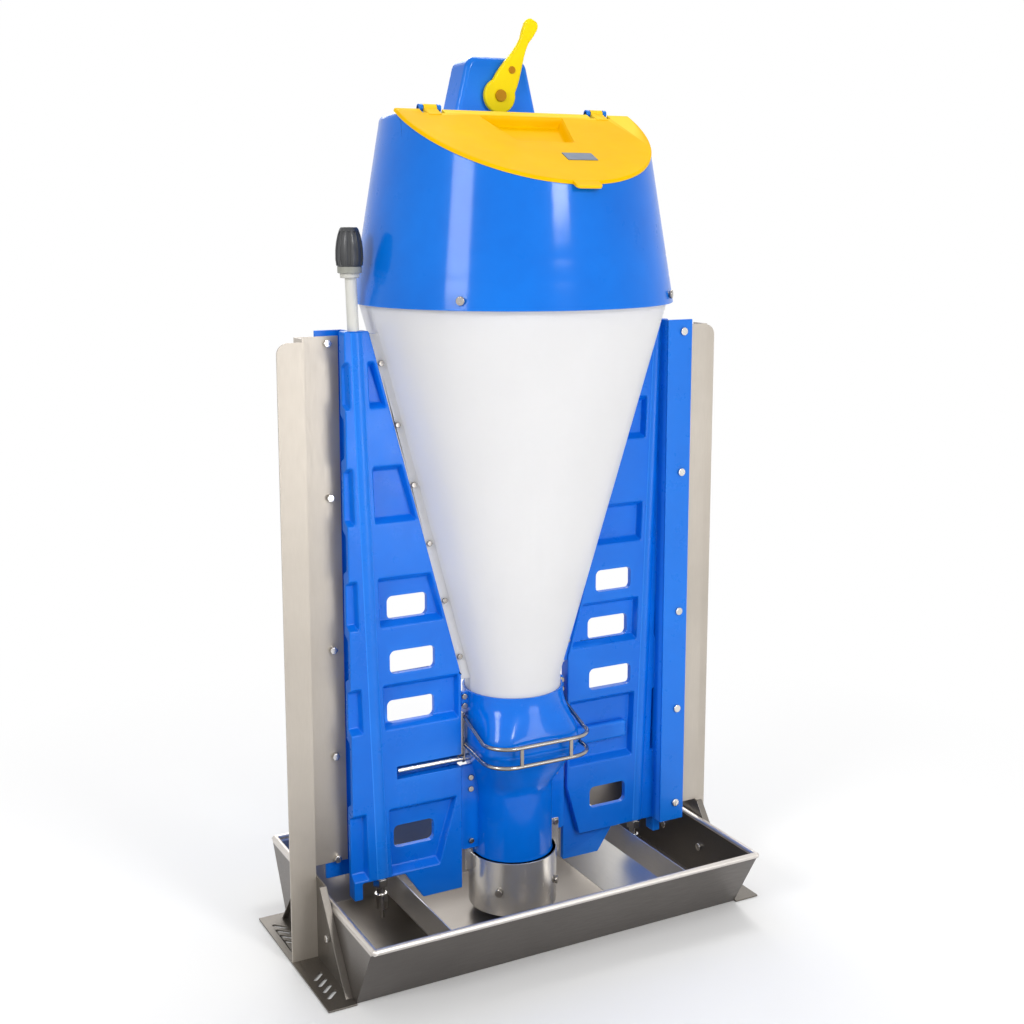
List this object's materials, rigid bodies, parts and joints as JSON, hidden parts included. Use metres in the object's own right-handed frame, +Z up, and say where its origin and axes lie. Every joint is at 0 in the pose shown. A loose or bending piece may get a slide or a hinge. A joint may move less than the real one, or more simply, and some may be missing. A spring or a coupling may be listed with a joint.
{
  "type": "pig feeder",
  "caption": "Double-sided wet and dry pig feeder: conical feed hopper with hinged lid and dosing lever, rocking feeding bows, side panels, drinking nipples and a steel trough.",
  "frame": {"origin": "middle of the feeder on the ground", "axes": "+X along the trough to the right, -Y to the front where the lid slopes, +Z up along the hopper's axis"},
  "size_m": [0.806, 0.518, 1.5031],
  "materials": {
    "trough_steel": "dull stainless sheet",
    "frame_steel": "satin stainless sheet",
    "bright_steel": "bright stainless",
    "blue_plastic": "moulded, semi-gloss",
    "hopper_plastic": "milky translucent",
    "yellow_plastic": "moulded, semi-gloss",
    "lever_yellow": "moulded, semi-gloss",
    "lever_orange": "moulded",
    "label_plate": "bare plate",
    "pipe": "drawn stainless",
    "coupling": "moulded, dull"
  },
  "bodies": {
    "frame": {"trough": "trough_steel", "divider_left": "trough_steel", "divider_right": "trough_steel", "end_frame_left": "frame_steel", "end_frame_right": "frame_steel", "post_left": "frame_steel", "post_right": "frame_steel", "panel_left": "blue_plastic", "panel_right": "blue_plastic", "water_pipe_left": "pipe", "water_pipe_right": "pipe", "inlet_coupling_left": "coupling", "inlet_socket_right": "coupling", "nipple_left": "bright_steel", "nipple_right": "bright_steel", "hopper_front": "hopper_plastic", "hopper_rear": "hopper_plastic", "cover": "blue_plastic", "hinge_pins": "bright_steel", "lever_housing": "blue_plastic", "rod_guide": "bright_steel", "hood_front": "blue_plastic", "hood_rear": "blue_plastic", "feed_tube": "frame_steel", "post_bolts": "bright_steel", "hopper_bolts": "bright_steel", "cover_bolts": "bright_steel", "trough_bolts": "bright_steel", "hood_bolts": "bright_steel", "tube_bolts": "bright_steel"},
    "lid": {"lid": "yellow_plastic", "lid_plate": "label_plate"},
    "lever": {"lever": "lever_yellow", "lever_screws": "lever_orange", "lever_shaft": "bright_steel"},
    "dosing": {"dosing_rod": "bright_steel", "dosing_cone": "blue_plastic"},
    "bow": {"bow_front": "bright_steel", "bow_rear": "bright_steel", "bow_arms": "bright_steel", "rocking_axle": "bright_steel", "agitator": "bright_steel"},
    "nipple_pin_left": {"nipple_pin_left": "bright_steel"},
    "nipple_pin_right": {"nipple_pin_right": "bright_steel"}
  },
  "joints": [
    {"name": "lid_hinge", "type": "hinge", "parent": "frame", "child": "lid", "pos_m": [0, -0.0065, 1.353], "axis": [-1, 0, 0], "range_deg": [0, 115]},
    {"name": "lever_turn", "type": "hinge", "parent": "frame", "child": "lever", "pos_m": [0, 0.05, 1.379], "axis": [0, 1, 0], "range_deg": [-72, 18]},
    {"name": "dosing_lift", "type": "slide", "parent": "frame", "child": "dosing", "axis": [0, 0, 1], "range_m": [-0.0085, 0.033]},
    {"name": "bow_rock", "type": "hinge", "parent": "frame", "child": "bow", "pos_m": [0, 0, 0.292], "axis": [1, 0, 0], "range_deg": [-6, 6], "stiffness_Nm_per_rad": 3},
    {"name": "nipple_push_left", "type": "slide", "parent": "frame", "child": "nipple_pin_left", "axis": [-0.0337, 0, 0.9994], "range_m": [0, 0.003], "stiffness_N_per_m": 300},
    {"name": "nipple_push_right", "type": "slide", "parent": "frame", "child": "nipple_pin_right", "axis": [0.0337, 0, 0.9994], "range_m": [0, 0.003], "stiffness_N_per_m": 300}
  ],
  "couplings": [
    {"joint": "dosing_lift", "follows": "lever_turn", "m_per_rad": -0.02604}
  ]
}
